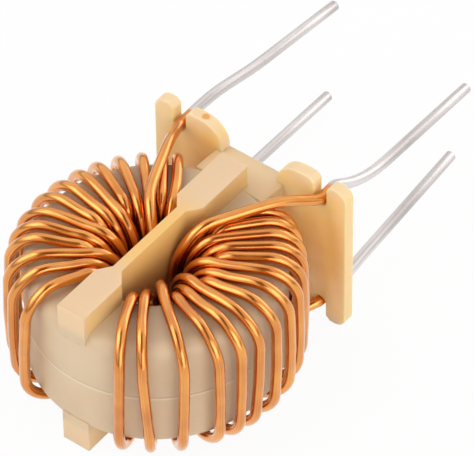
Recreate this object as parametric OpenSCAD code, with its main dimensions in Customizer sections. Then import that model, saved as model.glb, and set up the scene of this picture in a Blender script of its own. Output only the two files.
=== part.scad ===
// Two-winding toroidal inductor, lying with its ring flat and its leads along +Y.
// Millimetres. The ring's axis is Z and the part rests on the plane Z = 0.

/* [Core] */
// Outer diameter of the ring core
core_od = 20; // [18:0.1:24]
// Inner diameter of the ring core
core_bore = 13.3; // [12.8:0.1:14]
// Height of the ring core
core_h = 9.2; // [6:0.1:12]

/* [Case] */
// Clearance between the core and the case
core_gap = 0.2; // [0.1:0.05:0.4]
// Outer and end walls of the case
case_wall = 1; // [0.8:0.05:1.4]
// Wall of the case round the hole
bore_wall = 0.7; // [0.5:0.05:0.9]
// Rounding of the case's outer edges
edge_round = 1.2; // [0.6:0.1:1.6]
// Rounding of the rims of the hole
rim_round = 0.6; // [0.3:0.05:0.65]
// Height of the lap joint between the two halves
lap_h = 1.6; // [0.8:0.1:2.4]
// Clearance between the two walls of the lap joint
lap_gap = 0.1; // [0.05:0.01:0.2]
// Open seam between the two halves on the outside
seam_gap = 0.06; // [0.02:0.01:0.15]

/* [Divider bars] */
// Rise of a bar above the case's end face
bar_rise = 2.3; // [2.2:0.05:3]
// Width of an arm where it crosses the ring
arm_w = 2.75; // [2:0.05:3]
// Thickness of the web through the hole
web_t = 0.9; // [0.6:0.05:1]
// Inner end of the front arm, from the ring's axis
arm_front_in = 6.2; // [5.8:0.1:8]
// Inner end of the back arm, from the ring's axis
arm_back_in = 4.8; // [4.4:0.1:6]
// Length over which an arm narrows to the web
arm_taper = 1.2; // [0.6:0.1:1.5]
// How far the front arm stands past the case wall
arm_front_past = 0.05; // [0.02:0.01:0.5]
// How far the back arm stops short of the case wall
arm_back_short = 0.2; // [0:0.05:0.6]

/* [Wire] */
// Diameter of the wire
wire_d = 0.98; // [0.7:0.01:1]
// Clearance between the wire and what it lies on
wire_gap = 0.05; // [0.03:0.01:0.06]
// Clearance between the runs and the case's end faces
run_gap = 0.22; // [0.18:0.02:0.26]
// Gap between the outer runs and the case wall
stand_off = 0.7; // [0.3:0.05:1]
// Outward bow of the outer runs at mid-height
run_bow = 0.1; // [0:0.02:0.3]
// Tight bends into the hole: where they begin, outside the wall of the hole
tight_start = 0.97; // [0.8:0.01:1.05]
// Tight bends: reach towards the ring's axis
tight_reach = 1.72; // [1.7:0.01:1.9]
// Tight bends: depth
tight_drop = 1.89; // [1.5:0.01:2]
// Loose bends into the hole: where they begin, outside the wall of the hole
loose_start = 0.9; // [0.7:0.01:1]
// Loose bends: reach towards the ring's axis
loose_reach = 3.19; // [3:0.01:3.3]
// Loose bends: depth
loose_drop = 3.81; // [3.4:0.01:4]
// Deep bends into the hole: where they begin, inside the wall of the hole
deep_start = 0.38; // [0.3:0.01:0.5]
// Deep bends: reach towards the ring's axis
deep_reach = 2.77; // [2.6:0.01:2.8]
// Deep bends: depth
deep_drop = 3.95; // [3.6:0.01:4]
// Bend radius at the outer edges, to the middle of the wire
outer_bend = 2.9; // [1.6:0.1:3]

/* [Base plate] */
// Width of the plate
plate_w = 20.4; // [18.5:0.1:26]
// Thickness of the plate
plate_t = 1.2; // [0.8:0.1:2]
// Length of the saddle between the case and the plate
saddle_len = 1.8; // [1.6:0.1:3]
// Width of the saddle
saddle_w = 5; // [3:0.1:6]
// Height of the saddle
saddle_h = 8; // [4:0.1:9]
// Drop of the plate's middle edges below the ears
ear_rise = 2.6; // [2:0.1:3.2]
// Half the distance between the two inner posts
post_in = 2.9; // [2:0.1:4]
// Rounding of the inner posts towards the middle
post_round = 2.3; // [1:0.1:2.4]
// Rounding of the plate's outer corners
tab_round = 1.1; // [0.3:0.1:1.8]
// Chamfer at the mouth of a notch
mouth_chamfer = 0.45; // [0.1:0.05:0.6]
// Clearance between a lead and the sides of its notch
notch_gap = 0.15; // [0.1:0.01:0.3]

/* [Leads] */
// Spacing of the leads across the plate
lead_pitch_x = 15; // [13:0.1:16]
// Spacing of the leads up the plate
lead_pitch_z = 12.5; // [12:0.1:13.4]
// Length of the cut chamfer on a lead's tip
tip_chamfer = 0.15; // [0.05:0.05:0.3]
// Straight stretch of a lead behind the plate
lead_straight = 2; // [1.8:0.1:2.4]
// Upper left lead: how gently it begins to bend
left_upper_ease = 3; // [0.5:0.1:4]
// Upper left lead: knee behind the plate
left_upper_knee = 10.8; // [8:0.1:12]
// Upper left lead: rise of the knee from the notch
left_upper_rise = -1.5; // [-2:0.05:0]
// Upper left lead: length from the knee to the tip
left_upper_end = 10.5; // [6:0.1:12]
// Upper left lead: rise from the knee to the tip
left_upper_slope = -1.3; // [-2:0.05:0.5]
// Lower left lead: how gently it begins to bend
left_lower_ease = 1.2; // [0.5:0.1:2]
// Lower left lead: knee behind the plate
left_lower_knee = 6; // [5:0.1:8]
// Lower left lead: rise of the knee from the notch
left_lower_rise = -0.47; // [-0.8:0.01:0.8]
// Lower left lead: length from the knee to the tip
left_lower_end = 14.4; // [8:0.1:16]
// Lower left lead: rise from the knee to the tip
left_lower_slope = -0.28; // [-0.5:0.02:2]
// Upper right lead: how gently it begins to bend
right_upper_ease = 0.7; // [0.5:0.1:3]
// Upper right lead: knee behind the plate
right_upper_knee = 8.4; // [7:0.1:10]
// Upper right lead: rise of the knee from the notch
right_upper_rise = -3.05; // [-3.4:0.05:0]
// Upper right lead: length from the knee to the tip
right_upper_end = 12; // [8:0.1:14]
// Upper right lead: rise from the knee to the tip
right_upper_slope = -0.5; // [-1:0.05:1]
// Lower right lead: how gently it begins to bend
right_lower_ease = 1.2; // [0.5:0.1:2]
// Lower right lead: knee behind the plate
right_lower_knee = 6; // [5:0.1:8]
// Lower right lead: rise of the knee from the notch
right_lower_rise = 0.61; // [-0.8:0.01:0.8]
// Lower right lead: length from the knee to the tip
right_lower_end = 12.4; // [8:0.1:15]
// Lower right lead: rise from the knee to the tip
right_lower_slope = 1.64; // [-0.5:0.02:2]

/* [Hidden] */
$fn = 64;

// Case, from the core outwards
case_r = core_od / 2 + core_gap + case_wall;
bore_r = core_bore / 2 - core_gap - bore_wall;
case_top = core_h / 2 + core_gap + case_wall;
cavity_top = case_top - case_wall;
rest_h = case_top + bar_rise;
lap_r = case_r - case_wall / 2;
joint_end = lap_h + lap_gap;

// Base plate
plate_front = case_r + saddle_len;
plate_back = plate_front + plate_t;
lead_x = lead_pitch_x / 2;
lead_z = lead_pitch_z / 2;
notch_w = wire_d + 2 * notch_gap;

// Places of the wire's middle line in a turn
wire_r = wire_d / 2;
run_r = case_r + stand_off + wire_r;
run_z = case_top + run_gap + wire_r;
layer = wire_d + wire_gap;

// The three kinds of bend into the hole, in the order in which they follow each other from the
// front turn backwards: where each begins, how far it reaches in, and how deep it goes
bend_start = [bore_r + tight_start, bore_r + loose_start, bore_r - deep_start];
bend_reach = [tight_reach, loose_reach, deep_reach];
bend_drop = [tight_drop, loose_drop, deep_drop];
kinds = len(bend_start);
pass_r = bend_start[0] - bend_reach[0];

// Ring over which a run swings from its place at the rim to its place on the outside
swing_in = bore_r + rim_round / 2;

// Angles of the outer runs as the wire was laid by hand, from the back turn to the front
// one: at the upper edge and at the lower edge of the case
right_upper = [58, 52, 45, 38, 30.5, 22, 12, 2, -8, -17, -27, -41, -57, -66];
right_lower = [59, 52.5, 45.5, 38, 30.5, 22, 12, 1, -10, -18, -27, -42, -55, -67];
left_upper = [60.5, 55, 46, 36, 26, 17, 6.5, -3, -14, -23, -31, -43, -54, -67];
left_lower = [60, 54, 45, 36, 25.5, 16, 5, -4, -14.5, -24, -32, -42, -53, -64];

// The passes through the hole are spread evenly from the one beside the back arm to the one
// beside the web at the front, which has a little more room; at the rim they lie a wire apart
end_room = 0.2;
least_pitch = 2 * asin(wire_d / (2 * bore_r));
back_slot = acos((arm_w / 2 + wire_r + wire_gap) / pass_r);
front_slot = -acos((web_t / 2 + wire_r + 3 * wire_gap) / pass_r);
slots = min(len(right_upper) + 1, floor((back_slot - front_slot) / least_pitch) + 1);
slot_pitch = (back_slot - front_slot) / (slots - 1 + end_room);

// The least angle between two neighbouring runs on the outside
run_pitch = 2 * asin((wire_d + wire_gap) / (2 * run_r));

// How far the front turns are moved on at the upper rim, in slots, and how many they are
right_shift = 0.5;
right_shifted = 2;
left_shift = 0;
left_shifted = 0;

// Where the upper lead crosses the rim and where it lies in the hole, in slots from the back
right_lead_slot = 0.9;
left_lead_slot = 2.1;
lead_pass_slot = 1.8;

// Each lead's knee and tip: how far behind the plate, how far up, on from there, and how gently
// it bends; the share of the bend that runs into the knee
knee_ease = 0.62;
left_upper_lead =
    [left_upper_knee, left_upper_rise, left_upper_end, left_upper_slope, left_upper_ease];
left_lower_lead =
    [left_lower_knee, left_lower_rise, left_lower_end, left_lower_slope, left_lower_ease];
right_upper_lead =
    [right_upper_knee, right_upper_rise, right_upper_end, right_upper_slope, right_upper_ease];
right_lower_lead =
    [right_lower_knee, right_lower_rise, right_lower_end, right_lower_slope, right_lower_ease];

// Fineness of the swept wire
wire_sides = 8;
inner_steps = 5;
outer_steps = 4;
middle_steps = 2;
pass_steps = 3;
route_steps = 4;
lead_steps = 6;
sweep_inset = 0.005;
sweep_overlap = 0.4;

// Points and directions
function unit(v) = v / norm(v);
function polar(r, a) = [r * cos(a), r * sin(a)];
function lift(p, z) = [p[0], p[1], z];
function flat(list) = [for (part = list) each part];

// Outer angles, moved on where two runs would lie closer than a wire apart
function spaced(angles, i = 0, prior = 90) =
    i == len(angles) ? [] :
    let (a = min(angles[i], prior - run_pitch)) concat([a], spaced(angles, i + 1, a));

// Angle of a slot, counted from the back
function slot(i) = back_slot - slot_pitch * i;

// Kind of bend at the ends of pass j; the last pass has tight ones
function kind(j) = (slots - 1 - j) % kinds;
function kind_r(k) = bend_start[k] - bend_reach[k];
function kind_z(k) = run_z - bend_drop[k];

function reversed(list) = [for (k = [len(list) - 1:-1:0]) list[k]];

// Side view of a run across a face of the case, as [radius, height], from the hole to the outside
function run_side(kind) =
    let (inner = bend_start[kind], outer = run_r - outer_bend)
    concat(
        [for (k = [0:inner_steps])
            let (t = 90 * k / inner_steps)
            [inner - bend_reach[kind] * cos(t), kind_z(kind) + bend_drop[kind] * sin(t)]],
        [for (k = [1:middle_steps])
            [inner + (outer - inner) * k / (middle_steps + 1), run_z]],
        [for (k = [0:outer_steps])
            let (t = 90 * k / outer_steps)
            [outer + outer_bend * sin(t), run_z - outer_bend + outer_bend * cos(t)]]);

// The run itself: it leaves the hole straight over the rim and swings to its outer place
function swing(r) =
    max(0, min(1, (r - swing_in) / (run_r - swing_in)));
function run_out(kind, a, out, up) =
    [for (p = run_side(kind)) lift(polar(p[0], a + (out - a) * swing(p[0])), up * p[1])];

// Points of a smooth curve through the given points, which ends along their first and last legs
function smooth(pts) =
    let (n = len(pts) - 1)
    concat(
        [for (i = [0:n - 1])
            let (a = pts[max(i - 1, 0)], b = pts[i], c = pts[i + 1], d = pts[min(i + 2, n)])
            each [for (k = [0:route_steps - 1])
                let (t = k / route_steps)
                b + (c - a) * t / 2 + (2 * a - 5 * b + 4 * c - d) * t * t / 2
                    + (3 * b - a - 3 * c + d) * t * t * t / 2]],
        [pts[n]]);

// Middle line of the turns, from the upper lead's pass to the last pass at the front
function turn_count(upper) = min(len(upper), slots - 1);

function turns(upper, lower, shift, shifted) =
    let (count = turn_count(upper), top = spaced(upper), low = spaced(lower), first = kind(0))
    concat(
        lead_pass(polar(lead_pass_r, slot(lead_pass_slot)), polar(kind_r(first), slot(0)),
            -kind_z(first)),
        flat([for (i = [0:count - 1])
            let (rim = slot(i + (i >= count - shifted ? shift : 0)), next = kind(i + 1))
            concat(
                run_out(kind(i), slot(i), low[i], -1),
                [lift(polar(run_r + run_bow, (low[i] + top[i]) / 2), 0)],
                reversed(run_out(next, rim, top[i], 1)))]));

// Route of the upper lead, from its notch over the turns and round into the hole, inside them all
lead_pass_r = kind_r(kinds - 1) - layer;
lead_pass_z = kind_z(kinds - 1);
lead_drop = run_z + layer - lead_pass_z;
function upper_route(lead_slot) =
    let (
        p = polar(bend_start[kinds - 1], slot(lead_slot)),
        end = polar(lead_pass_r, slot(lead_pass_slot)),
        q = [lead_x, plate_front],
        u = unit(q - p),
        z = run_z + layer
    )
    concat(
        smooth([
            [lead_x, plate_back, lead_z],
            [lead_x, plate_front, lead_z],
            lift(q - u * 1.2 * wire_d + [0, -0.2 * wire_d], lead_z + 0.25 * wire_d),
            lift(q - u * 4 * wire_d, z - 0.1 * wire_d),
            lift(p, z)
        ]),
        [for (k = [1:lead_steps])
            let (t = 90 * k / lead_steps)
            lift(p + (end - p) * sin(t), z - lead_drop * (1 - cos(t)))]);

// Its pass down through the hole, from p to q: it keeps its place and swings back near the bottom
function lead_pass(p, q, bottom) =
    [for (k = [1:pass_steps])
        let (t = k / (pass_steps + 1))
        lift(p + (q - p) * pow(t, 4), lead_pass_z + (bottom - lead_pass_z) * t)];

// Route of the lower lead, from the front of the hole along the web and the back arm to its notch
function lower_route(p) =
    let (
        z = -(run_z + layer),
        web_x = web_t / 2 + wire_r + 4 * wire_gap,
        arm_x = arm_w / 2 + wire_r + 4 * wire_gap,
        q = [lead_x, plate_front],
        arm = [arm_x, arm_back_in - arm_taper / 2],
        u = unit(q - arm)
    )
    smooth([
        lift(p + [0, 0.05 * wire_d], -run_z + 0.5 * wire_d),
        lift(p + [0, 0.5 * wire_d], z + 0.4 * wire_d),
        lift(p + [0, 1.6 * wire_d], z),
        [web_x, 0, z],
        lift(arm, z),
        lift(arm + u * 4 * wire_d, z),
        lift(q - u * 4 * wire_d, z),
        lift(q - u * 1.2 * wire_d + [0, -0.2 * wire_d], -lead_z - 0.25 * wire_d),
        [lead_x, plate_front, -lead_z],
        [lead_x, plate_back, -lead_z]
    ]);

// Free end of a lead behind the plate, up to the straight stretch at its end
function knee_of(ends, side) = [lead_x, plate_back + ends[0], side * lead_z + ends[1]];
function end_run(ends) = [0, ends[2], ends[3]];
function free_route(ends, side) =
    let (
        a = [lead_x, plate_back + lead_straight, side * lead_z],
        knee = knee_of(ends, side),
        u = unit(end_run(ends)),
        b = a + [0, ends[4], 0],
        c = knee - u * knee_ease * (norm(knee - a) - ends[4])
    )
    concat(
        [for (k = [0:route_steps])
            let (t = k / route_steps, s = 1 - t)
            a * s * s * s + 3 * b * s * s * t + 3 * c * s * t * t + knee * t * t * t],
        [knee + u * sweep_overlap]);

function wire_line(upper, lower, shift, shifted, lead_slot, high, deep) =
    concat(reversed(free_route(high, 1)), upper_route(lead_slot),
        turns(upper, lower, shift, shifted),
        lower_route(polar(pass_r, slot(turn_count(upper) + end_room))), free_route(deep, -1));

// Frames carried along a line without twist
function tangent(line, i) =
    unit(line[min(i + 1, len(line) - 1)] - line[max(i - 1, 0)]);
function across(n, t) = unit(n - (n * t) * t);
function normals(line) =
    [for (i = 0, n = across([1, 0, 0], tangent(line, 0)); i < len(line);
        i = i + 1, n = i < len(line) ? across(n, tangent(line, i)) : n) n];

module swept(line, radius) {
    count = len(line);
    n = normals(line);
    points = [for (i = [0:count - 1])
        let (t = tangent(line, i), b = cross(t, n[i]))
        each [for (j = [0:wire_sides - 1])
            let (a = 360 * j / wire_sides)
            line[i] + radius * (cos(a) * n[i] + sin(a) * b)]];
    sides = [for (i = [0:count - 2], j = [0:wire_sides - 1])
        let (k = (j + 1) % wire_sides, p = i * wire_sides, q = p + wire_sides)
        each [[p + j, q + k, p + k], [p + j, q + j, q + k]]];
    first = [[for (j = [0:wire_sides - 1]) j]];
    end = [[for (j = [wire_sides - 1:-1:0]) (count - 1) * wire_sides + j]];
    polyhedron(points = points, faces = concat(sides, first, end));
}

// Straight end of a lead, with the small chamfer of its cut
module lead_end(ends, side) {
    run = end_run(ends);
    translate(knee_of(ends, side))
        rotate([-90 + atan2(run[2], run[1]), 0, 0]) {
            cylinder(h = norm(run) - tip_chamfer, r = wire_r);
            translate([0, 0, norm(run) - tip_chamfer])
                cylinder(h = tip_chamfer, r1 = wire_r, r2 = wire_r - tip_chamfer);
        }
}

module corner_cut(r) {
    difference() {
        square(2 * r);
        circle(r);
    }
}

// Half section of the case, rounded at its end face
module half_section() {
    difference() {
        translate([bore_r, 0])
            square([case_r - bore_r, case_top]);
        translate([case_r - edge_round, case_top - edge_round])
            corner_cut(edge_round);
        translate([bore_r + rim_round, case_top - rim_round])
            mirror([1, 0])
                corner_cut(rim_round);
    }
}

module bar_plan() {
    half = [
        [arm_w / 2, -(case_r + arm_front_past)],
        [arm_w / 2, -arm_front_in],
        [web_t / 2, -(arm_front_in - arm_taper)],
        [web_t / 2, arm_back_in - arm_taper],
        [arm_w / 2, arm_back_in],
        [arm_w / 2, case_r - arm_back_short]
    ];
    polygon(concat(half, [for (p = reversed(half)) [-p[0], p[1]]]));
}

// One half of the case with its divider bar, above the seam
module case_half() {
    difference() {
        union() {
            rotate_extrude()
                half_section();
            translate([0, 0, cavity_top])
                linear_extrude(case_wall + bar_rise)
                    bar_plan();
            translate([-web_t / 2, -bore_r - bore_wall / 2, 0])
                cube([web_t, 2 * bore_r + bore_wall, case_top]);
        }
        rotate_extrude()
            translate([bore_r + bore_wall, -case_wall])
                square([case_r - case_wall - bore_r - bore_wall, cavity_top + case_wall]);
    }
}

// Ring of the lap joint's tongue, between the cavity and the middle of the wall
module lap_ring(r, low, high) {
    rotate_extrude()
        translate([case_r - case_wall, low])
            square([r - case_r + case_wall, high - low]);
}

module toroid_core() {
    color([0.30, 0.29, 0.28])
        translate([0, 0, rest_h])
            rotate_extrude()
                translate([core_bore / 2, -core_h / 2])
                    square([(core_od - core_bore) / 2, core_h]);
}

module case_upper() {
    color([0.88, 0.76, 0.60])
        translate([0, 0, rest_h])
            difference() {
                case_half();
                lap_ring(lap_r + lap_gap / 2, -case_wall, joint_end);
                rotate_extrude()
                    translate([lap_r, -case_wall])
                        square([case_r, case_wall + seam_gap]);
            }
}

module case_lower() {
    color([0.86, 0.74, 0.58])
        translate([0, 0, rest_h])
            union() {
                mirror([0, 0, 1])
                    case_half();
                lap_ring(lap_r - lap_gap / 2, -lap_h, lap_h);
            }
}

// Quarter outline of the base plate, in the plate's own X and height
module plate_quarter() {
    edge = plate_w / 2;
    difference() {
        union() {
            square([edge, rest_h - ear_rise]);
            translate([post_in, 0])
                square([edge - post_in, rest_h]);
        }
        translate([edge - tab_round, rest_h - tab_round])
            corner_cut(tab_round);
        translate([post_in + post_round, rest_h - post_round])
            mirror([1, 0])
                corner_cut(post_round);
        translate([lead_x, lead_z])
            circle(d = notch_w);
        translate([lead_x - notch_w / 2, lead_z])
            square([notch_w, rest_h]);
        translate([lead_x, rest_h])
            polygon([
                [-notch_w / 2 - mouth_chamfer, 0],
                [notch_w / 2 + mouth_chamfer, 0],
                [notch_w / 2, -mouth_chamfer],
                [-notch_w / 2, -mouth_chamfer]
            ]);
    }
}

module base_plate() {
    color([0.92, 0.78, 0.58])
        translate([0, 0, rest_h])
            difference() {
                union() {
                    translate([0, plate_back, 0])
                        rotate([90, 0, 0])
                            linear_extrude(plate_t)
                                for (x = [0, 1], z = [0, 1])
                                    mirror([x, 0])
                                        mirror([0, z])
                                            plate_quarter();
                    translate([-saddle_w / 2, 0, -saddle_h / 2])
                        cube([saddle_w, plate_front + plate_t / 2, saddle_h]);
                }
                cylinder(h = 2 * rest_h, r = case_r + wire_gap, center = true);
            }
}

module winding_right() {
    color([0.82, 0.46, 0.18])
        translate([0, 0, rest_h]) {
            swept(wire_line(right_upper, right_lower, right_shift, right_shifted, right_lead_slot,
                right_upper_lead, right_lower_lead), wire_r - sweep_inset);
            lead_end(right_upper_lead, 1);
            lead_end(right_lower_lead, -1);
        }
}

module winding_left() {
    color([0.82, 0.46, 0.18])
        translate([0, 0, rest_h])
            mirror([1, 0, 0]) {
                swept(wire_line(left_upper, left_lower, left_shift, left_shifted, left_lead_slot,
                    left_upper_lead, left_lower_lead), wire_r - sweep_inset);
                lead_end(left_upper_lead, 1);
                lead_end(left_lower_lead, -1);
            }
}

toroid_core();
case_upper();
case_lower();
base_plate();
winding_left();
winding_right();
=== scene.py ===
"""Looks of a two-winding toroidal inductor: wound wire, moulded case, notched plate and studio."""

import logging
import math
from dataclasses import dataclass, field
from enum import Enum
from typing import Any

import bpy
from mathutils import Matrix, Vector


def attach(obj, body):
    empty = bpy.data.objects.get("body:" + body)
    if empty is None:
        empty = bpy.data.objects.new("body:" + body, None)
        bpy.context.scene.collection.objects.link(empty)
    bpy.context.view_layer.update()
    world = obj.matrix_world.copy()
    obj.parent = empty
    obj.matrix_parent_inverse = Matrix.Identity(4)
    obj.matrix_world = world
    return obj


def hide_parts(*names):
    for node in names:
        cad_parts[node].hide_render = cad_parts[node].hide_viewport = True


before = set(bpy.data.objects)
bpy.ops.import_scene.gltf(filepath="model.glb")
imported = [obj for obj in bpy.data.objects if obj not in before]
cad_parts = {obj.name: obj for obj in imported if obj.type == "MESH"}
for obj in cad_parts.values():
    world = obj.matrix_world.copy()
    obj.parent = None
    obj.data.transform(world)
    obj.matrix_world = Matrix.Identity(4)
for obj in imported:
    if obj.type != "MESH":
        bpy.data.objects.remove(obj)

Colour = tuple[float, float, float]

LOG = logging.getLogger("choke")
MM = 0.001
IMAGE_WIDTH = 474
WHITE: Colour = (1.0, 1.0, 1.0)
EDGE_ROUND = 0.16
EDGE_SEGMENTS = 3
SHARP_ANGLE = 40.0
NOISE_MEAN = 0.5


class Side(Enum):
    """Which half of the ring a winding lies on, as a factor on X."""

    LEFT = -1
    RIGHT = 1


class Face(Enum):
    """Which end face of the case a run crosses, as a factor on Z."""

    UPPER = 1
    LOWER = -1


@dataclass(frozen=True)
class ChokeSizes:
    """Driving sizes of the choke in millimetres, two counts of wire gaps, and what follows from them."""

    case_r: float = 11.2
    bore_r: float = 5.75
    case_top: float = 5.8
    bar_rise: float = 2.3
    arm_w: float = 2.75
    web_t: float = 0.9
    arm_back_in: float = 4.8
    arm_taper: float = 1.2
    rim_round: float = 0.6
    wire_d: float = 0.98
    wire_gap: float = 0.05
    web_gaps: int = 3
    lead_gaps: int = 4
    run_gap: float = 0.22
    stand_off: float = 0.7
    run_bow: float = 0.1
    outer_bend: float = 2.9
    pass_r: float = 5.0
    plate_front: float = 13.0
    plate_back: float = 14.2
    plate_w: float = 20.4
    post_in: float = 2.9
    ear_rise: float = 2.6
    lead_x: float = 7.5
    lead_z: float = 6.25
    lead_straight: float = 2.0
    knee_ease: float = 0.62
    tip_chamfer: float = 0.15

    @property
    def wire_r(self) -> float:
        """Radius of the wire."""
        return self.wire_d / 2

    @property
    def rest_h(self) -> float:
        """Height of the core's middle above the floor."""
        return self.case_top + self.bar_rise

    @property
    def ledge_h(self) -> float:
        """Height of the plate's edge between the posts above the core's middle."""
        return self.rest_h - self.ear_rise

    @property
    def run_r(self) -> float:
        """Distance of the outer runs from the ring's axis."""
        return self.case_r + self.stand_off + self.wire_r

    @property
    def run_z(self) -> float:
        """Height of the first layer of runs above the core's middle."""
        return self.case_top + self.run_gap + self.wire_r

    @property
    def layer(self) -> float:
        """Step from one layer of wire to the next."""
        return self.wire_d + self.wire_gap

    @property
    def back_slot(self) -> float:
        """Angle of the pass beside the back arm, in degrees."""
        return math.degrees(math.acos((self.arm_w / 2 + self.wire_r + self.wire_gap) / self.pass_r))

    @property
    def front_slot(self) -> float:
        """Angle of the pass beside the web at the front, in degrees."""
        aside = self.web_t / 2 + self.wire_r + self.web_gaps * self.wire_gap
        return -math.degrees(math.acos(aside / self.pass_r))


SIZES = ChokeSizes()


class Bend(Enum):
    """The kinds of bend into the hole, in millimetres: where it begins, its reach inwards and its depth."""

    TIGHT = (6.72, 1.72, 1.89)
    LOOSE = (6.65, 3.19, 3.81)
    DEEP = (5.37, 2.77, 3.95)

    @property
    def start(self) -> float:
        """Distance from the ring's axis at which the bend begins."""
        return self.value[0]

    @property
    def reach(self) -> float:
        """Reach of the bend towards the ring's axis."""
        return self.value[1]

    @property
    def drop(self) -> float:
        """Depth of the bend."""
        return self.value[2]

    @property
    def radius(self) -> float:
        """Distance from the ring's axis at which the bend ends."""
        return self.start - self.reach

    @property
    def height(self) -> float:
        """Height at which the bend ends, from the core's middle."""
        return SIZES.run_z - self.drop


class Value:
    """A shader socket that takes part in Python expressions; each operator adds a Math node."""

    def __init__(self, graph: "Graph", socket: bpy.types.NodeSocket) -> None:
        """Wraps one output socket of a graph."""
        self.graph = graph
        self.socket = socket

    def math(self, operation: str, *others: "Value | float") -> "Value":
        """Result of a Math node on this value and the other operands."""
        return self.graph.maths(operation, self, *others)

    def __add__(self, other: "Value | float") -> "Value":
        """Sum."""
        return self.math("ADD", other)

    __radd__ = __add__

    def __sub__(self, other: "Value | float") -> "Value":
        """Difference."""
        return self.math("SUBTRACT", other)

    def __rsub__(self, other: float) -> "Value":
        """Difference from a number."""
        return self.graph.maths("SUBTRACT", other, self)

    def __mul__(self, other: "Value | float") -> "Value":
        """Product."""
        return self.math("MULTIPLY", other)

    __rmul__ = __mul__

    def __abs__(self) -> "Value":
        """Size without sign."""
        return self.math("ABSOLUTE")

    def smooth(self, low: float, high: float) -> "Value":
        """Smooth step.

        Args:
            low: Where the step is still 0.
            high: Where it has reached 1.

        Returns:
            The step's value.
        """
        node = self.graph.node(
            "ShaderNodeMapRange", {"interpolation_type": "SMOOTHSTEP"},
            Value=self, **{"From Min": low, "From Max": high})
        return Value(self.graph, node.outputs["Result"])

    def smooth_mm(self, low: float, high: float) -> "Value":
        """Smooth step of a length between two sizes in millimetres."""
        return self.smooth(low * MM, high * MM)


class Graph:
    """A node tree that is filled from Python."""

    def __init__(self, tree: bpy.types.NodeTree) -> None:
        """Empties a node tree and keeps it."""
        self.tree = tree
        tree.nodes.clear()

    def node(self, kind: str, settings: dict[str, Any] | None = None, **inputs: Any) -> bpy.types.Node:
        """Adds a node of any type.

        Args:
            kind: The node's type.
            settings: Properties of the node, which are set first.
            inputs: A value or a link for each named socket.

        Returns:
            The new node.
        """
        made = self.tree.nodes.new(kind)
        for name, value in (settings or {}).items():
            setattr(made, name, value)
        for name, value in inputs.items():
            self.feed(made.inputs[name], value)
        return made

    def feed(self, socket: bpy.types.NodeSocket, value: Any) -> None:
        """Links a socket to a value of the graph, or sets it.

        Args:
            socket: The input socket.
            value: A value or socket of the graph, a number, a vector or a colour.
        """
        if isinstance(value, Value):
            self.tree.links.new(value.socket, socket)
        elif isinstance(value, bpy.types.NodeSocket):
            self.tree.links.new(value, socket)
        elif socket.type == "RGBA":
            socket.default_value = (*value, 1.0)
        else:
            socket.default_value = value

    def maths(self, operation: str, *operands: "Value | float") -> Value:
        """Adds a Math node.

        Args:
            operation: Name of the operation.
            operands: Its operands in order.

        Returns:
            The node's result.
        """
        made = self.node("ShaderNodeMath", {"operation": operation})
        for socket, operand in zip(made.inputs, operands):
            self.feed(socket, operand)
        return Value(self, made.outputs[0])

    def split(self, vector: bpy.types.NodeSocket) -> tuple[Value, Value, Value]:
        """X, Y and Z of a vector."""
        parts = self.node("ShaderNodeSeparateXYZ", Vector=vector)
        return tuple(Value(self, parts.outputs[k]) for k in "XYZ")

    def place(self) -> tuple[bpy.types.NodeSocket, Value, Value, Value]:
        """Object coordinates, whole and as X, Y and Z."""
        coordinates = self.node("ShaderNodeTexCoord").outputs["Object"]
        return (coordinates, *self.split(coordinates))

    def noise(self, where: bpy.types.NodeSocket, scale: float, detail: float = 3.0,
              stretch: tuple[float, float, float] = (1.0, 1.0, 1.0)) -> Value:
        """Adds a noise pattern.

        Args:
            where: The coordinates that it lies on.
            scale: Its scale.
            detail: How many finer layers it has.
            stretch: Factors on the coordinates, which draw it out along an axis.

        Returns:
            The noise's value.
        """
        mapped = self.node("ShaderNodeMapping", Vector=where, Scale=stretch)
        made = self.node("ShaderNodeTexNoise", Vector=mapped.outputs["Vector"], Scale=scale, Detail=detail)
        return Value(self, made.outputs[0])

    def mix(self, share: Value, first: "bpy.types.NodeSocket | Colour",
            second: "bpy.types.NodeSocket | Colour") -> bpy.types.NodeSocket:
        """Mixes two colours.

        Args:
            share: Share of the second colour.
            first: The colour at a share of 0.
            second: The colour at a share of 1.

        Returns:
            The mixed colour.
        """
        made = self.node("ShaderNodeMix", {"data_type": "RGBA"}, Factor=share)
        for socket, colour in zip((s for s in made.inputs if s.type == "RGBA"), (first, second)):
            self.feed(socket, colour)
        return next(s for s in made.outputs if s.type == "RGBA")

    def bump(self, height: Value, strength: float, distance: float) -> bpy.types.NodeSocket:
        """A bumped normal."""
        bumped = self.node("ShaderNodeBump", Height=height, Strength=strength, Distance=distance)
        return bumped.outputs["Normal"]


class Finish:
    """A surface finish that makes one material."""

    name: str

    def material(self) -> bpy.types.Material:
        """Makes the material.

        Returns:
            A material with its own node tree.
        """
        made = bpy.data.materials.new(self.name)
        made.use_nodes = True
        graph = Graph(made.node_tree)
        shader = graph.node("ShaderNodeBsdfPrincipled")
        self.dress(graph, shader)
        graph.node("ShaderNodeOutputMaterial", Surface=shader.outputs[0])
        return made

    def dress(self, graph: Graph, shader: bpy.types.Node) -> None:
        """Feeds the shader's sockets."""
        raise NotImplementedError


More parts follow.
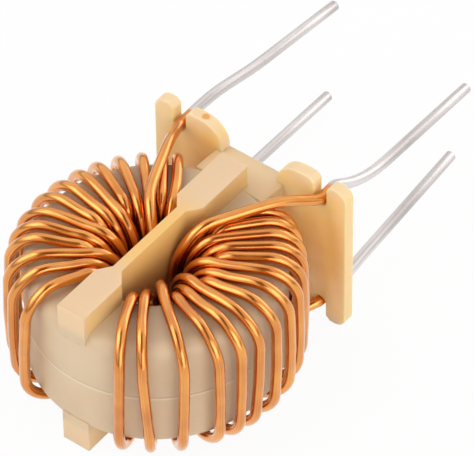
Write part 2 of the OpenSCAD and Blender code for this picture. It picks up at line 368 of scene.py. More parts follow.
@dataclass(frozen=True)
class EnamelledWire(Finish):
    """Copper under clear amber enamel, stripped and tinned behind the plate, with painted dark reflection
    bands on both.
    """

    name: str = "enamelled_copper"
    copper: Colour = (0.89, 0.37, 0.066)
    # Dark copper for the random patches and for the painted dark reflection bands.
    copper_dark_and_reflection: Colour = (0.65, 0.20, 0.023)
    tin: Colour = (0.865, 0.815, 0.80)
    # Dark tin for the drawn lines, darkened to stand in for painted reflections along the lead.
    tin_dark: Colour = (0.46, 0.42, 0.40)
    stripped_from: float = (SIZES.plate_back + 0.15) * MM
    stripped_over: float = 0.5 * MM
    stripped_ragged: float = 0.6 * MM
    patch_scale: float = 260.0
    # Stretch of the noise for the painted dark reflection bands, along and round the wire.
    reflection_streaks_along_and_round: tuple[float, float, float] = (9.0, 70.0, 0.0)
    line_scale: float = 3200.0
    line_stretch: tuple[float, float, float] = (1.0, 0.01, 0.0)
    blotch_scale: float = 900.0
    blotch_stretch: tuple[float, float, float] = (1.0, 0.15, 0.0)
    patch_share: float = 0.45
    reflection_streak_share: float = 0.55
    copper_range: tuple[float, float] = (0.36, 0.62)
    line_share: float = 0.7
    blotch_share: float = 0.3
    tin_range: tuple[float, float] = (0.3, 0.65)
    enamel_roughness: float = 0.215
    patch_roughness: float = 0.1
    tin_dulling: float = 0.27
    enamel_coat: float = 0.9
    coat_roughness: float = 0.06
    coat_ior: float = 1.55
    patch_relief: float = 0.15
    streak_relief: float = 0.4
    relief: float = 0.25
    relief_depth: float = 0.05 * MM

    def dress(self, graph: Graph, shader: bpy.types.Node) -> None:
        """Enamel up to the plate with random patches and painted dark reflection bands, then tin with drawn
        lines along the lead, darkened as painted reflections.

        Args:
            graph: The material's node tree.
            shader: Its shader.
        """
        where, _, y, _ = graph.place()
        on_wire = graph.node("ShaderNodeTexCoord").outputs["UV"]
        patches = graph.noise(where, self.patch_scale, detail=2.0)
        reflection_streaks = graph.noise(on_wire, 1.0, detail=2.0, stretch=self.reflection_streaks_along_and_round)
        lines = graph.noise(where, self.line_scale, detail=2.0, stretch=self.line_stretch)
        blotches = graph.noise(where, self.blotch_scale, detail=4.0, stretch=self.blotch_stretch)
        tinned = (y + self.stripped_ragged * (blotches - NOISE_MEAN)).smooth(
            self.stripped_from, self.stripped_from + self.stripped_over)
        # Random patches of tone plus painted dark reflection bands along the wire.
        tone_and_reflection = self.patch_share * patches + self.reflection_streak_share * reflection_streaks
        # Drawn lines along the lead, whose dark tone also stands in for painted reflections.
        drawn = self.line_share * lines + self.blotch_share * blotches
        copper = graph.mix(tone_and_reflection.smooth(*self.copper_range), self.copper_dark_and_reflection, self.copper)
        tin = graph.mix(drawn.smooth(*self.tin_range), self.tin_dark, self.tin)
        roughness = self.enamel_roughness + self.patch_roughness * (patches - NOISE_MEAN)
        height = lines * tinned + self.patch_relief * patches + self.streak_relief * reflection_streaks
        graph.feed(shader.inputs["Base Color"], graph.mix(tinned, copper, tin))
        graph.feed(shader.inputs["Roughness"], roughness + self.tin_dulling * tinned)
        graph.feed(shader.inputs["Coat Weight"], self.enamel_coat - self.enamel_coat * tinned)
        graph.feed(shader.inputs["Normal"], graph.bump(height, self.relief, self.relief_depth))
        shader.inputs["Metallic"].default_value = 1.0
        shader.inputs["Coat Roughness"].default_value = self.coat_roughness
        shader.inputs["Coat IOR"].default_value = self.coat_ior


@dataclass(frozen=True)
class Spot:
    """Shader values at a place on a moulding; the height counts from the core's middle, up or down."""

    x: Value
    y: Value
    z: Value
    height: Value
    clouds: Value
    # Mask of the ends near the top and bottom, which are painted paler as if lit.
    end: Value


@dataclass(frozen=True)
class MouldedPlastic(Finish):
    """Satin translucent plastic with soft mottling, a fine grain and painted paler ends, as if lit."""

    name: str
    solid: Colour = (0.86, 0.605, 0.265)
    solid_deep: Colour = (0.82, 0.50, 0.17)
    # Paler colour painted on the ends, standing in for the light on the tops.
    pale: Colour = (0.815, 0.58, 0.355)
    lit_end_depth: float = 0.35
    lit_end_edge: float = 0.02
    glow: float = 0.35
    depth: float = 0.9
    scatter: tuple[float, float, float] = (1.0, 0.55, 0.25)
    ior: float = 1.5
    cloud_scale: float = 150.0
    mottle: tuple[float, float] = (0.3, 0.7)
    grain_scale: float = 5000.0
    satin: float = 0.42
    satin_spread: float = 0.12
    cloud_relief: float = 0.6
    relief: float = 0.06
    relief_depth: float = 0.05 * MM

    def tint(self, graph: Graph, spot: Spot, solid: bpy.types.NodeSocket) -> bpy.types.NodeSocket:
        """Colour of the piece, from the mottled colour of the solid plastic."""
        raise NotImplementedError

    def dress(self, graph: Graph, shader: bpy.types.Node) -> None:
        """Mottled colour with painted paler ends, satin gloss, a glow from below the surface and a fine
        grain.

        Args:
            graph: The material's node tree.
            shader: Its shader.
        """
        where, x, y, z = graph.place()
        clouds = graph.noise(where, self.cloud_scale)
        grain = graph.noise(where, self.grain_scale, detail=2.0)
        height = abs(z - SIZES.rest_h * MM)
        # Ends near the top and bottom get the painted paler colour, as if lit.
        end = height.smooth_mm(SIZES.rest_h - self.lit_end_depth, SIZES.rest_h - self.lit_end_edge)
        solid = graph.mix(clouds.smooth(*self.mottle), self.solid_deep, self.solid)
        colour = self.tint(graph, Spot(x, y, z, height, clouds, end), solid)
        bumped = graph.bump(grain + self.cloud_relief * clouds, self.relief, self.relief_depth)
        graph.feed(shader.inputs["Base Color"], colour)
        graph.feed(shader.inputs["Roughness"], self.satin + self.satin_spread * (clouds - NOISE_MEAN))
        graph.feed(shader.inputs["Normal"], bumped)
        shader.inputs["IOR"].default_value = self.ior
        shader.inputs["Subsurface Weight"].default_value = self.glow
        shader.inputs["Subsurface Radius"].default_value = self.scatter
        shader.inputs["Subsurface Scale"].default_value = self.depth * MM


@dataclass(frozen=True)
class CasePlastic(MouldedPlastic):
    """Plastic of the case: greyer where it is a thin wall over the core, cream where it is solid, with
    painted paler bar ends and a painted highlight along the seam.
    """

    walled: Colour = (0.695, 0.53, 0.348)
    walled_deep: Colour = (0.645, 0.48, 0.305)
    web: Colour = (0.90, 0.55, 0.175)
    end_face: Colour = (0.775, 0.56, 0.34)
    # Colour of the painted highlight on the lower half's rim along the seam.
    rim: Colour = (0.78, 0.625, 0.465)
    front_fade: float = 0.6
    bar_fade: tuple[float, float] = (0.5, 0.45)
    side_fade: tuple[float, float] = (0.15, 0.5)
    bore_fade: float = 0.5
    web_fade: tuple[float, float] = (3.5, 0.5)
    web_share: float = 0.9
    seam_highlight_edge: float = 0.02
    seam_highlight_fade: tuple[float, float] = (0.15, 0.3)
    wall_mottle: tuple[float, float] = (0.35, 0.65)
    seam_highlight_mottle: tuple[float, float] = (0.3, 0.6)

    def bar_mask(self, spot: Spot, radius: Value) -> Value:
        """Mask of the divider bars and of all that lies inside the hole.

        Args:
            spot: The place on the case.
            radius: Its distance from the ring's axis.

        Returns:
            1 on the bars and in the hole, 0 on the walls.
        """
        half = SIZES.arm_w / 2
        above = spot.height.smooth_mm(SIZES.case_top - self.bar_fade[0], SIZES.case_top + self.bar_fade[1])
        beside = abs(spot.x).smooth_mm(half - self.side_fade[0], half + self.side_fade[1])
        inside = 1.0 - radius.smooth_mm(SIZES.bore_r - self.bore_fade, SIZES.bore_r)
        return (above * (1.0 - beside)).math("MAXIMUM", inside)

    def tint(self, graph: Graph, spot: Spot, solid: bpy.types.NodeSocket) -> bpy.types.NodeSocket:
        """Colours the bars with their painted paler ends, the web, the walls and a painted highlight along
        the seam.

        Args:
            graph: The material's node tree.
            spot: The place on the case.
            solid: The mottled colour of the solid plastic.

        Returns:
            The case's colour.
        """
        radius = (spot.x * spot.x + spot.y * spot.y).math("SQRT")
        front = (0.0 - spot.y).smooth_mm(SIZES.case_r - self.front_fade, SIZES.case_r)
        middle = 1.0 - radius.smooth_mm(SIZES.bore_r - self.web_fade[0], SIZES.bore_r + self.web_fade[1])
        below = SIZES.rest_h * MM - spot.z
        # Painted highlight just below the seam, where the lower half's rim faces up to the light.
        seam_highlight = below.smooth_mm(-self.seam_highlight_edge, self.seam_highlight_edge) * (1.0 - below.smooth_mm(*self.seam_highlight_fade))
        # The bars' ends take the painted paler colour, as if lit.
        colour = graph.mix(front, graph.mix(spot.end, solid, self.pale), self.end_face)
        colour = graph.mix(self.web_share * middle, colour, self.web)
        wall = graph.mix(spot.clouds.smooth(*self.wall_mottle), self.walled_deep, self.walled)
        colour = graph.mix(self.bar_mask(spot, radius), wall, colour)
        # Mixes in the painted seam highlight.
        return graph.mix(seam_highlight * spot.clouds.smooth(*self.seam_highlight_mottle), colour, self.rim)


@dataclass(frozen=True)
class PlatePlastic(MouldedPlastic):
    """Plastic of the base plate: cream, painted paler at its ends and edges as if lit, with a painted glow
    spot on one post.
    """

    lit_end_depth: float = 1.6
    side_fade: float = 1.5
    side_share: float = 0.5
    post_fade: float = 0.6
    ledge_fade: tuple[float, float] = (0.8, 0.1)
    # A painted glow spot on one post, standing in for light shining through its rounded edge.
    painted_glow_spot: Colour = (0.78, 0.40, 0.10)
    painted_glow_place: tuple[float, float, float] = (-5.1, 13.65, 16.2)
    painted_glow_r: float = 0.4
    painted_glow_core: float = 0.7

    def painted_glow_mask(self, spot: Spot) -> Value:
        """Mask of a small round painted glow spot on a post, standing in for light shining through its
        rounded edge.

        Args:
            spot: The place on the plate.

        Returns:
            1 on the painted glow spot, otherwise 0.
        """
        x, y, z = (axis - place * MM for axis, place in zip((spot.x, spot.y, spot.z), self.painted_glow_place))
        distance = (x * x + y * y + z * z).math("SQRT")
        return 1.0 - distance.smooth_mm(self.painted_glow_core * self.painted_glow_r, self.painted_glow_r)

    def tint(self, graph: Graph, spot: Spot, solid: bpy.types.NodeSocket) -> bpy.types.NodeSocket:
        """Paints the ears' ends, the sides and the edge between the posts paler as if lit, and adds the
        painted glow spot.

        Args:
            graph: The material's node tree.
            spot: The place on the plate.
            solid: The mottled colour of the solid plastic.

        Returns:
            The plate's colour.
        """
        half = SIZES.plate_w / 2
        # Painted paler sides, ends and edge between the posts, as if lit.
        side = abs(spot.x).smooth_mm(half - self.side_fade, half)
        between = 1.0 - abs(spot.x).smooth_mm(SIZES.post_in, SIZES.post_in + self.post_fade)
        lit_ledge = between * spot.height.smooth_mm(*(SIZES.ledge_h - fade for fade in self.ledge_fade))
        edges = spot.end.math("MAXIMUM", self.side_share * side).math("MAXIMUM", lit_ledge)
        return graph.mix(self.painted_glow_mask(spot), graph.mix(edges, solid, self.pale), self.painted_glow_spot)


@dataclass(frozen=True)
class SinteredFerrite(Finish):
    """Dull dark sintered ring inside the case."""

    name: str = "sintered_ferrite"
    grey: Colour = (0.05, 0.05, 0.05)
    pale: Colour = (0.09, 0.09, 0.088)
    speck_scale: float = 3000.0
    speck_range: tuple[float, float] = (0.4, 0.7)
    dullness: float = 0.6
    dullness_spread: float = 0.2
    relief: float = 0.2
    relief_depth: float = 0.05 * MM

    def dress(self, graph: Graph, shader: bpy.types.Node) -> None:
        """Speckled dark grey.

        Args:
            graph: The material's node tree.
            shader: Its shader.
        """
        where, *_ = graph.place()
        specks = graph.noise(where, self.speck_scale, detail=4.0)
        colour = graph.mix(specks.smooth(*self.speck_range), self.grey, self.pale)
        graph.feed(shader.inputs["Base Color"], colour)
        graph.feed(shader.inputs["Roughness"], self.dullness + self.dullness_spread * specks)
        graph.feed(shader.inputs["Normal"], graph.bump(specks, self.relief, self.relief_depth))


def deselect() -> None:
    """Leaves edit mode and deselects every object."""
    if bpy.context.mode != "OBJECT":
        bpy.ops.object.mode_set(mode="OBJECT")
    bpy.ops.object.select_all(action="DESELECT")


def coat(piece: bpy.types.Object, finish: Finish) -> None:
    """Gives a piece its finish in place of any other."""
    piece.data.materials.clear()
    piece.data.materials.append(finish.material())


def hand_over(piece: bpy.types.Object, node: str = "") -> None:
    """Seats a finished piece in the frame.

    Args:
        piece: The piece.
        node: Name of the frame's node that the piece stands for, if it stands for one.
    """
    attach(piece, "root")
    if node:
        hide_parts(node)
    LOG.info("%s: %d faces", piece.name, len(piece.data.polygons))


def round_edges(piece: bpy.types.Object) -> None:
    """Rounds the sharp edges of a moulded piece and smooths it.

    Args:
        piece: The piece, which is the active object.
    """
    rounding = piece.modifiers.new("edges", "BEVEL")
    rounding.limit_method = "ANGLE"
    rounding.angle_limit = math.radians(SHARP_ANGLE)
    rounding.width = EDGE_ROUND * MM
    rounding.segments = EDGE_SEGMENTS
    rounding.use_clamp_overlap = True
    bpy.ops.object.modifier_apply(modifier=rounding.name)
    bpy.ops.object.shade_smooth_by_angle(angle=math.radians(SHARP_ANGLE))


def polar(radius: float, angle: float) -> Vector:
    """Point in the plane at a radius and an angle in degrees."""
    return Vector((radius * math.cos(math.radians(angle)), radius * math.sin(math.radians(angle))))


def lifted(point: Vector, z: float) -> Vector:
    """The point of the plane at a height."""
    return Vector((point.x, point.y, z))


@dataclass
class Lead:
    """Free end of a wire behind the plate, in millimetres from the core's middle."""

    knee: tuple[float, float]
    tip: tuple[float, float]
    ease: float
    straight: float = SIZES.lead_straight

    def points(self, face: Face, steps: int) -> list[Vector]:
        """Middle line from the plate to the tip.

        Args:
            face: Whether it is the upper or the lower lead.
            steps: Points along the bent stretch.

        Returns:
            The points after the plate's back face.
        """
        start = Vector((SIZES.lead_x, SIZES.plate_back + self.straight, face.value * SIZES.lead_z))
        knee = Vector((SIZES.lead_x, *self.knee))
        tip = Vector((SIZES.lead_x, *self.tip))
        along = (tip - knee).normalized()
        out = start + Vector((0, self.ease, 0))
        back = knee - along * (SIZES.knee_ease * ((knee - start).length - self.ease))
        bent = []
        for k in range(steps + 1):
            t = k / steps
            s = 1 - t
            bent.append(start * s**3 + out * (3 * s * s * t) + back * (3 * s * t * t) + knee * t**3)
        return bent + [knee.lerp(tip, 0.5), tip - along * SIZES.tip_chamfer, tip]


@dataclass
class Winding:
    """One hand-laid winding: its turns from the back to the front and its two leads.

    Angles are in degrees from +X, mirrored on the left side. From notch_out on, the fields shape the leads'
    routes and are in wire diameters.
    """

    node: str
    side: Side
    upper_angles: list[float]
    lower_angles: list[float]
    shift: float
    shifted: int
    lead_slot: float
    upper_lead: Lead
    lower_lead: Lead
    finish: EnamelledWire = field(default_factory=EnamelledWire)
    inner_steps: int = 10
    outer_steps: int = 9
    middle_steps: int = 6
    pass_steps: int = 8
    lead_steps: int = 12
    route_steps: int = 8
    ring_steps: int = 5
    lead_pass_slot: float = 1.8
    lead_pass_sweep: int = 4
    end_room: float = 0.2
    crown: float = 0.3
    flat_turns: int = 3
    crown_turns: int = 3
    ease_passes: int = 8
    dive_held: int = 4
    merge: float = 1e-7
    smooth_angle: float = 50.0
    notch_out: float = 1.2
    ramp_out: float = 4.0
    upper_drift: float = 0.06
    upper_rise: float = 0.36
    ramp_sag: float = 0.1
    lower_drift: float = 0.2
    lower_drop: float = 0.25
    exit_along: tuple[float, float, float] = (0.05, 0.5, 1.6)
    exit_rise: tuple[float, float] = (0.5, 0.4)

    def slot(self, place: float) -> float:
        """Angle of a slot in the hole, counted from the back."""
        pitch = (SIZES.back_slot - SIZES.front_slot) / (len(self.upper_angles) + self.end_room)
        return SIZES.back_slot - pitch * place

    def kind(self, place: int) -> Bend:
        """Kind of bend at the ends of a pass, counted from the upper lead's."""
        kinds = list(Bend)
        return kinds[(len(self.upper_angles) - place) % len(kinds)]

    def side_view(self, bend: Bend) -> list[tuple[float, float]]:
        """Lays a run out in the plane through the ring's axis.

        Args:
            bend: The kind of bend into the hole.

        Returns:
            Radius and height of the points from the hole to the outside.
        """
        outer = SIZES.run_r - SIZES.outer_bend
        points = []
        for k in range(self.inner_steps + 1):
            t = math.pi / 2 * k / self.inner_steps
            points.append((bend.start - bend.reach * math.cos(t), bend.height + bend.drop * math.sin(t)))
        for k in range(1, self.middle_steps + 1):
            points.append((bend.start + (outer - bend.start) * k / (self.middle_steps + 1), SIZES.run_z))
        for k in range(self.outer_steps + 1):
            t = math.pi / 2 * k / self.outer_steps
            points.append((outer + SIZES.outer_bend * math.sin(t),
                           SIZES.run_z - SIZES.outer_bend + SIZES.outer_bend * math.cos(t)))
        return points

    @staticmethod
    def swing(radius: float) -> float:
        """Share of the way from a run's place at the rim to its place on the outside."""
        low = SIZES.bore_r + SIZES.rim_round / 2
        return max(0.0, min(1.0, (radius - low) / (SIZES.run_r - low)))

    def run_out(self, bend: Bend, rim: float, outside: float, face: Face, crown: float = 0.0) -> list[Vector]:
        """A run across an end face, straight over the rim and then across to its outer place.

        Args:
            bend: The kind of bend into the hole.
            rim: Angle at the rim.
            outside: Angle on the outside.
            face: The end face that it crosses.
            crown: How far the run arches up between the rim and the outside.

        Returns:
            The points from the hole to the outside.
        """
        points = []
        for radius, height in self.side_view(bend):
            share = max(0.0, (radius - bend.start) / (SIZES.run_r - bend.start))
            arched = height + crown * math.sin(math.pi * share) ** 2
            angle = rim + (outside - rim) * self.swing(radius)
            points.append(lifted(polar(radius, angle), face.value * arched))
        return points

    def crown_of(self, turn: int) -> float:
        """Arch of a turn's upper run: none under the lead at the back, then growing to the full one."""
        return self.crown * max(0.0, min(1.0, (turn - self.flat_turns) / self.crown_turns))

    def eased(self, points: list[Vector], first: int, last: int) -> list[Vector]:
        """Rounds a line's corners without lowering it.

        Args:
            points: The line's points.
            first: How many points are held at its start.
            last: How many points are held at its end.

        Returns:
            As many points, eased between the held ones.
        """
        end = len(points) - last
        for _ in range(self.ease_passes):
            between = points[first:end]
            means = [(a + 2 * b + c) / 4 for a, b, c in zip(points[first - 1:], between, points[first + 1:])]
            inner = [lifted(mean, max(mean.z, old.z)) for mean, old in zip(means, between)]
            points = points[:first] + inner + points[end:]
        return points

    def curve_through(self, stops: list[Vector]) -> list[Vector]:
        """Lays a smooth curve through the given points.

        Args:
            stops: The points that it passes.

        Returns:
            Closely set points from the first stop to the last.
        """
        last = len(stops) - 1
        points = []
        for i in range(last):
            a, b = stops[max(i - 1, 0)], stops[i]
            c, d = stops[i + 1], stops[min(i + 2, last)]
            for k in range(self.route_steps):
                t = k / self.route_steps
                points.append(b + (c - a) * (t / 2) + (2 * a - 5 * b + 4 * c - d) * (t * t / 2)
                              + (3 * b - a - 3 * c + d) * (t**3 / 2))
        return points + [stops[last]]

    @property
    def lead_radius(self) -> float:
        """Distance of the upper lead's pass from the ring's axis."""
        return Bend.DEEP.radius - SIZES.layer

    def lead_pass(self) -> list[Vector]:
        """The upper lead's pass down through the hole, which swings back near the bottom.

        Returns:
            The points between the lead's bend and the first lower run.
        """
        first = self.kind(0)
        p, q = polar(self.lead_radius, self.slot(self.lead_pass_slot)), polar(first.radius, self.slot(0))
        top, bottom = Bend.DEEP.height, -first.height
        shares = [k / (self.pass_steps + 1) for k in range(1, self.pass_steps + 1)]
        return [lifted(p + (q - p) * t**self.lead_pass_sweep, top + (bottom - top) * t) for t in shares]

    def turns(self) -> list[Vector]:
        """Middle line of the turns.

        Returns:
            The points from the upper lead's pass to the last pass at the front.
        """
        points = self.lead_pass()
        count = len(self.upper_angles)
        for turn, (top, low) in enumerate(zip(self.upper_angles, self.lower_angles)):
            rim = self.slot(turn + (self.shift if turn >= count - self.shifted else 0))
            points += self.run_out(self.kind(turn), self.slot(turn), low, Face.LOWER)
            points.append(lifted(polar(SIZES.run_r + SIZES.run_bow, (low + top) / 2), 0))
            points += self.run_out(self.kind(turn + 1), rim, top, Face.UPPER, self.crown_of(turn))[::-1]
        return points

    def upper_route(self) -> list[Vector]:
        """Route of the upper lead over the turns.

        Returns:
            The points from the plate's back face to the bend into the hole.
        """
        d, z = SIZES.wire_d, SIZES.run_z + SIZES.layer
        p = polar(Bend.DEEP.start, self.slot(self.lead_slot))
        end = polar(self.lead_radius, self.slot(self.lead_pass_slot))
        q = Vector((SIZES.lead_x, SIZES.plate_front))
        u = (q - p).normalized()
        drop = z - Bend.DEEP.height
        bend = q - u * self.notch_out * d + Vector((0, -self.upper_drift * d))
        over = self.curve_through([
            lifted(Vector((SIZES.lead_x, SIZES.plate_back)), SIZES.lead_z),
            lifted(q, SIZES.lead_z),
            lifted(bend, SIZES.lead_z + self.upper_rise * d),
            lifted(q - u * self.ramp_out * d, z - self.ramp_sag * d),
            lifted(p, z)])
        for k in range(1, self.lead_steps + 1):
            t = math.pi / 2 * k / self.lead_steps
            over.append(lifted(p + (end - p) * math.sin(t), z - drop * (1 - math.cos(t))))
        return self.eased(over, self.route_steps + 1, self.dive_held)

    def lower_route(self) -> list[Vector]:
        """Route of the lower lead under the ring.

        Returns:
            The points from the front of the hole along the web to the plate's back face.
        """
        d, z = SIZES.wire_d, -(SIZES.run_z + SIZES.layer)
        room = SIZES.lead_gaps * SIZES.wire_gap
        web_x = SIZES.web_t / 2 + SIZES.wire_r + room
        arm_x = SIZES.arm_w / 2 + SIZES.wire_r + room
        p = polar(SIZES.pass_r, self.slot(len(self.upper_angles) + self.end_room))
        arm = Vector((arm_x, SIZES.arm_back_in - SIZES.arm_taper / 2))
        q = Vector((SIZES.lead_x, SIZES.plate_front))
        u = (q - arm).normalized()
        bend = q - u * self.notch_out * d + Vector((0, -self.lower_drift * d))
        return self.curve_through([
            lifted(p + Vector((0, self.exit_along[0] * d)), -SIZES.run_z + self.exit_rise[0] * d),
            lifted(p + Vector((0, self.exit_along[1] * d)), z + self.exit_rise[1] * d),
            lifted(p + Vector((0, self.exit_along[2] * d)), z),
            Vector((web_x, 0, z)),
            lifted(arm, z),
            lifted(arm + u * self.ramp_out * d, z),
            lifted(q - u * self.ramp_out * d, z),
            lifted(bend, -SIZES.lead_z - self.lower_drop * d),
            lifted(q, -SIZES.lead_z),
            lifted(Vector((SIZES.lead_x, SIZES.plate_back)), -SIZES.lead_z)])

    def middle_line(self) -> list[Vector]:
        """Middle line of the whole wire.

        Returns:
            The points from the upper tip to the lower one, in the frame's metres.
        """
        free = self.upper_lead.points(Face.UPPER, self.route_steps)[::-1]
        points = free + self.upper_route() + self.turns() + self.lower_route()
        points += self.lower_lead.points(Face.LOWER, self.route_steps)
        return [Vector((self.side.value * p.x, p.y, p.z + SIZES.rest_h)) * MM for p in points]

    def build(self) -> bpy.types.Object:
        """Sweeps the round wire along its middle line.

        Returns:
            The finished mesh piece.
        """
        deselect()
        bpy.ops.curve.primitive_nurbs_path_add(radius=MM, location=(0, 0, 0))
        piece = bpy.context.object
        piece.name = piece.data.name = self.node + "_wire"
        curve = piece.data
        line = self.middle_line()
        curve.splines.clear()
        spline = curve.splines.new("POLY")
        spline.points.add(len(line) - 1)
        for point, place in zip(spline.points, line):
            point.co = (*place, 1.0)
        for tip in (spline.points[0], spline.points[-1]):
            tip.radius = 1 - SIZES.tip_chamfer / SIZES.wire_r
        curve.dimensions = "3D"
        curve.twist_mode = "MINIMUM"
        curve.bevel_depth = SIZES.wire_r * MM
        curve.bevel_resolution = self.ring_steps
        curve.use_fill_caps = True
        bpy.ops.object.convert(target="MESH")
        bpy.ops.object.mode_set(mode="EDIT")
        bpy.ops.mesh.select_all(action="SELECT")
        bpy.ops.mesh.remove_doubles(threshold=self.merge)
        bpy.ops.mesh.normals_make_consistent(inside=False)
        bpy.ops.object.mode_set(mode="OBJECT")
        bpy.ops.object.shade_smooth_by_angle(angle=math.radians(self.smooth_angle))
        return bpy.context.object

    def dress(self) -> None:
        """Builds the winding, gives it its finish and seats it."""
        piece = self.build()
        coat(piece, self.finish)
        hand_over(piece, self.node)


@dataclass
class Moulding:
    """A moulded piece: the frame's solid with its sharp edges softened."""

    node: str
    slot: str
    finish: MouldedPlastic
    merge: float = 1e-6
    flat_angle: float = 0.5

    def build(self) -> bpy.types.Object:
        """Copies the solid, merges it and rounds its edges.

        Returns:
            The finished mesh piece.
        """
        deselect()
        piece = bpy.data.objects.new(self.node + "_moulding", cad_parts[self.node].data.copy())
        bpy.context.scene.collection.objects.link(piece)
        bpy.context.view_layer.objects.active = piece
        piece.select_set(True)
        bpy.ops.object.mode_set(mode="EDIT")
        bpy.ops.mesh.select_all(action="SELECT")
        bpy.ops.mesh.remove_doubles(threshold=self.merge)
        bpy.ops.mesh.dissolve_limited(angle_limit=math.radians(self.flat_angle))
        bpy.ops.object.mode_set(mode="OBJECT")
        round_edges(piece)
        return piece

    def dress(self) -> None:
        """Builds the moulding, gives it its finish and seats it."""
        piece = self.build()
        coat(piece, self.finish)
        hand_over(piece, self.node)


@dataclass
class SaddlePads:
    """Pads that raise the saddle behind the divider bars to the plate's edge between the posts."""

    name: str
    finish: MouldedPlastic
    width: float = 7.2
    front: float = 10.2
    base: float = 3.7
    back_room: float = 0.08
    lift: float = 0.02
    front_rise: float = 0.26

    def pad(self, face: Face) -> bpy.types.Object:
        """Makes one pad, a block whose outer face slopes from the case to the plate.

        Args:
            face: The end of the saddle that it raises.

        Returns:
            The pad with rounded edges.
        """
        deselect()
        low = Vector((-self.width / 2, self.front, self.base))
        high = Vector((self.width / 2, SIZES.plate_back - self.back_room, SIZES.ledge_h + self.lift))
        middle, size = (low + high) / 2, high - low
        place = Vector((middle.x, middle.y, SIZES.rest_h + face.value * middle.z))
        bpy.ops.mesh.primitive_cube_add(size=1.0, calc_uvs=False, location=place * MM, scale=size * MM)
        bpy.ops.object.transform_apply(location=True, rotation=True, scale=True)
        piece = bpy.context.object
        bpy.ops.object.mode_set(mode="EDIT")
        bpy.ops.mesh.select_mode(type="VERT")
        bpy.ops.mesh.select_all(action="DESELECT")
        bpy.ops.object.mode_set(mode="OBJECT")
        for vertex in piece.data.vertices:
            outward = face.value * (vertex.co.z - place.z * MM)
            vertex.select = outward > 0 and vertex.co.y < place.y * MM
        bpy.ops.object.mode_set(mode="EDIT")
        bpy.ops.transform.translate(value=(0, 0, face.value * self.front_rise * MM))
        bpy.ops.object.mode_set(mode="OBJECT")
        round_edges(piece)
        return piece

    def dress(self) -> None:
        """Builds both pads as one piece, gives it its finish and seats it."""
        pads = [self.pad(face) for face in Face]
        deselect()
        for pad in pads:
            pad.select_set(True)
        bpy.context.view_layer.objects.active = pads[0]
        bpy.ops.object.join()
        piece = bpy.context.object
        piece.name = piece.data.name = self.name
        coat(piece, self.finish)
        hand_over(piece)


@dataclass
class Core:
    """The ring inside the case, shown as the frame has it."""

    node: str = "toroid_core"
    finish: SinteredFerrite = field(default_factory=SinteredFerrite)

    def dress(self) -> None:
        """Gives the ring its finish."""
        coat(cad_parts[self.node], self.finish)
        LOG.info("%s: dressed", self.node)


@dataclass
class Lamp:
    """One soft lamp, aimed at the choke."""

    name: str
    place: tuple[float, float, float]
    size: float
    watts: float

    def build(self, target: Vector) -> None:
        """Adds the lamp.

        Args:
            target: The point that it is aimed at, from which its place is measured.
        """
        light = bpy.data.lights.new(self.name, "AREA")
        light.size = self.size
        light.energy = self.watts
        lamp = bpy.data.objects.new(self.name, light)
        bpy.context.scene.collection.objects.link(lamp)
        lamp.location = target + Vector(self.place)
        lamp.rotation_euler = (-Vector(self.place)).to_track_quat("-Z", "Y").to_euler()


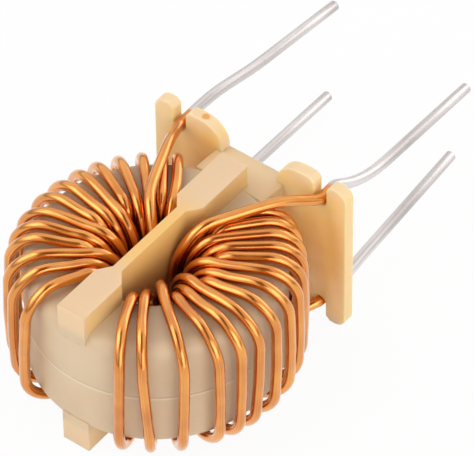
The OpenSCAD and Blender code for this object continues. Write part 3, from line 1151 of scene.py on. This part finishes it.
@dataclass
class Studio:
    """Pale floor, soft light in a white tent and the photograph's camera."""

    azimuth: float = 39.21
    elevation: float = 46.52
    roll: float = -1.7
    focal_px: float = 4841.7
    distance: float = 409.34 * MM
    centre_left_px: float = 80.46
    centre_below_px: float = 72.62
    sensor: float = 36.0
    clip_near: float = 0.01
    clip_far: float = 20.0
    floor_size: float = 6.0
    floor_colour: Colour = (0.9, 0.9, 0.9)
    floor_glow: float = 0.94
    world_level: float = 0.75
    gap_width: tuple[float, float] = (0.2, 0.34)
    gap_end: tuple[float, float] = (-0.05, 0.2)
    gap_colour: Colour = (0.25, 0.10, 0.06)
    horizon_band: tuple[float, float] = (0.1, 0.3)
    horizon_colour: Colour = (0.4, 0.4, 0.4)
    lamps: list[Lamp] = field(default_factory=lambda: [
        Lamp("key", (-0.25, -0.28, 0.36), 0.40, 0.75),
        Lamp("fill", (0.42, -0.22, 0.16), 0.40, 0.8),
        Lamp("back", (0.12, 0.45, 0.07), 0.40, 0.6),
    ])

    def seen(self, graph: Graph) -> Value:
        """Tells the rays that show a surface from those that light it.

        Args:
            graph: The node tree.

        Returns:
            1 for rays from the camera, from gloss and through glass, otherwise 0.
        """
        path = graph.node("ShaderNodeLightPath")
        names = ("Is Camera Ray", "Is Glossy Ray", "Is Transmission Ray")
        camera, glossy, through = (Value(graph, path.outputs[k]) for k in names)
        return camera.math("MAXIMUM", glossy).math("MAXIMUM", through)

    def floor(self) -> None:
        """Adds the white floor, which keeps a faint shadow."""
        deselect()
        bpy.ops.mesh.primitive_plane_add(size=self.floor_size, location=(0, 0, 0))
        plane = bpy.context.object
        plane.name = "floor"
        paper = bpy.data.materials.new("white_paper")
        paper.use_nodes = True
        graph = Graph(paper.node_tree)
        matt = graph.node("ShaderNodeBsdfDiffuse", Color=self.floor_colour)
        glow = graph.node("ShaderNodeEmission", Color=WHITE, Strength=1.0)
        both = graph.node("ShaderNodeMixShader", Fac=self.seen(graph) * self.floor_glow)
        graph.feed(both.inputs[1], matt.outputs[0])
        graph.feed(both.inputs[2], glow.outputs[0])
        graph.node("ShaderNodeOutputMaterial", Surface=both.outputs[0])
        plane.data.materials.append(paper)

    def tent(self, graph: Graph) -> bpy.types.NodeSocket:
        """Colours the light tent: white, but mirrored with a grey foot and a dark gap on the camera's side.

        Args:
            graph: The world's node tree.

        Returns:
            The tent's colour.
        """
        where = graph.node("ShaderNodeTexCoord").outputs["Generated"]
        turned = graph.node("ShaderNodeMapping", Vector=where, Rotation=(0, 0, -math.radians(self.azimuth)))
        across, away, up = graph.split(turned.outputs["Vector"])
        gap = (1.0 - abs(across).smooth(*self.gap_width)) * (1.0 - away.smooth(*self.gap_end))
        horizon = 1.0 - up.smooth(*self.horizon_band)
        mirrored = Value(graph, graph.node("ShaderNodeLightPath").outputs["Is Glossy Ray"])
        dimmed = graph.mix(horizon * mirrored, WHITE, self.horizon_colour)
        return graph.mix(gap * mirrored, dimmed, self.gap_colour)

    def light(self, target: Vector) -> None:
        """Sets the world and adds the lamps.

        Args:
            target: The point that the lamps are aimed at.
        """
        world = bpy.data.worlds.new("studio")
        bpy.context.scene.world = world
        world.use_nodes = True
        graph = Graph(world.node_tree)
        soft = graph.node("ShaderNodeBackground", Color=WHITE, Strength=self.world_level)
        white = graph.node("ShaderNodeBackground", Color=self.tent(graph), Strength=1.0)
        both = graph.node("ShaderNodeMixShader", Fac=self.seen(graph))
        graph.feed(both.inputs[1], soft.outputs[0])
        graph.feed(both.inputs[2], white.outputs[0])
        graph.node("ShaderNodeOutputWorld", Surface=both.outputs[0])
        for lamp in self.lamps:
            lamp.build(target)

    def camera(self, target: Vector) -> None:
        """Sets the camera at the photograph's angle, turned so that the choke lies where it does there.

        Args:
            target: The middle of the core.
        """
        a, e, r = (math.radians(k) for k in (self.azimuth, self.elevation, self.roll))
        back = Vector((math.sin(a) * math.cos(e), -math.cos(a) * math.cos(e), math.sin(e)))
        level = Vector((math.cos(a), math.sin(a), 0))
        upright = back.cross(level)
        right = level * math.cos(r) + upright * math.sin(r)
        up = upright * math.cos(r) - level * math.sin(r)
        ahead = -back + right * (self.centre_left_px / self.focal_px)
        ahead += up * (self.centre_below_px / self.focal_px)
        z_axis = -ahead.normalized()
        x_axis = up.cross(z_axis).normalized()
        y_axis = z_axis.cross(x_axis)
        data = bpy.data.cameras.new("photo_camera")
        data.sensor_width = self.sensor
        data.lens = self.focal_px * self.sensor / IMAGE_WIDTH
        data.clip_start = self.clip_near
        data.clip_end = self.clip_far
        camera = bpy.data.objects.new("photo_camera", data)
        bpy.context.scene.collection.objects.link(camera)
        turn = Matrix((x_axis, y_axis, z_axis)).transposed().to_4x4()
        camera.matrix_world = Matrix.Translation(target + back * self.distance) @ turn
        bpy.context.scene.camera = camera

    def build(self) -> None:
        """Builds the floor, the light and the camera."""
        target = Vector((0, 0, SIZES.rest_h * MM))
        self.floor()
        self.light(target)
        self.camera(target)
        bpy.context.scene.view_settings.view_transform = "Standard"


def windings() -> list[Winding]:
    """Gives the two windings as they were laid.

    Returns:
        The left and the right winding.
    """
    left = Winding(
        "winding_left", Side.LEFT,
        [60.5, 55, 46, 36, 26, 17, 6.5, -3, -14, -23, -31, -43, -54, -67],
        [60, 54, 45, 36, 25.5, 16, 5, -4, -14.5, -24, -32, -42, -53, -64],
        shift=0, shifted=0, lead_slot=2.1,
        upper_lead=Lead((25, 4.75), (35.5, 3.45), ease=3),
        lower_lead=Lead((20.2, -6.72), (34.6, -7), ease=1.2))
    right = Winding(
        "winding_right", Side.RIGHT,
        [58, 52, 45, 38, 30.5, 22, 12, 2, -8, -17, -27, -41, -57, -66],
        [59, 52.5, 45.5, 38, 30.5, 22, 12, 1, -10, -18, -27, -42, -55, -67],
        shift=0.5, shifted=2, lead_slot=0.9,
        upper_lead=Lead((22.6, 3.2), (34.6, 2.7), ease=0.7, straight=0.7),
        lower_lead=Lead((20.2, -5.64), (32.6, -4), ease=1.2))
    return [left, right]


def mouldings() -> list[Moulding | SaddlePads]:
    """Gives the moulded pieces with their finishes.

    Returns:
        The two halves of the case, the base plate and the pads on its saddle.
    """
    cased = CasePlastic("case_plastic")
    # The pale colours are painted on the ends and edges, as if lit.
    plain = PlatePlastic("plate_plastic", solid=(0.93, 0.75, 0.385), solid_deep=(0.90, 0.61, 0.20),
                         pale=(0.86, 0.66, 0.41), glow=0.8, depth=1.5)
    padded = PlatePlastic("saddle_plastic", solid=(0.84, 0.60, 0.345), solid_deep=(0.81, 0.56, 0.30),
                          pale=(0.84, 0.605, 0.355))
    return [Moulding("case_upper", "case", cased), Moulding("case_lower", "case", cased),
            Moulding("base_plate", "plate", plain), SaddlePads("saddle_pads", padded)]


def main() -> None:
    """Builds the choke and its studio."""
    logging.basicConfig(level=logging.INFO)
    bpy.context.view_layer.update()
    Studio().build()
    for winding in windings():
        winding.dress()
    for moulding in mouldings():
        moulding.dress()
    Core().dress()


if __name__ == "__main__":
    main()
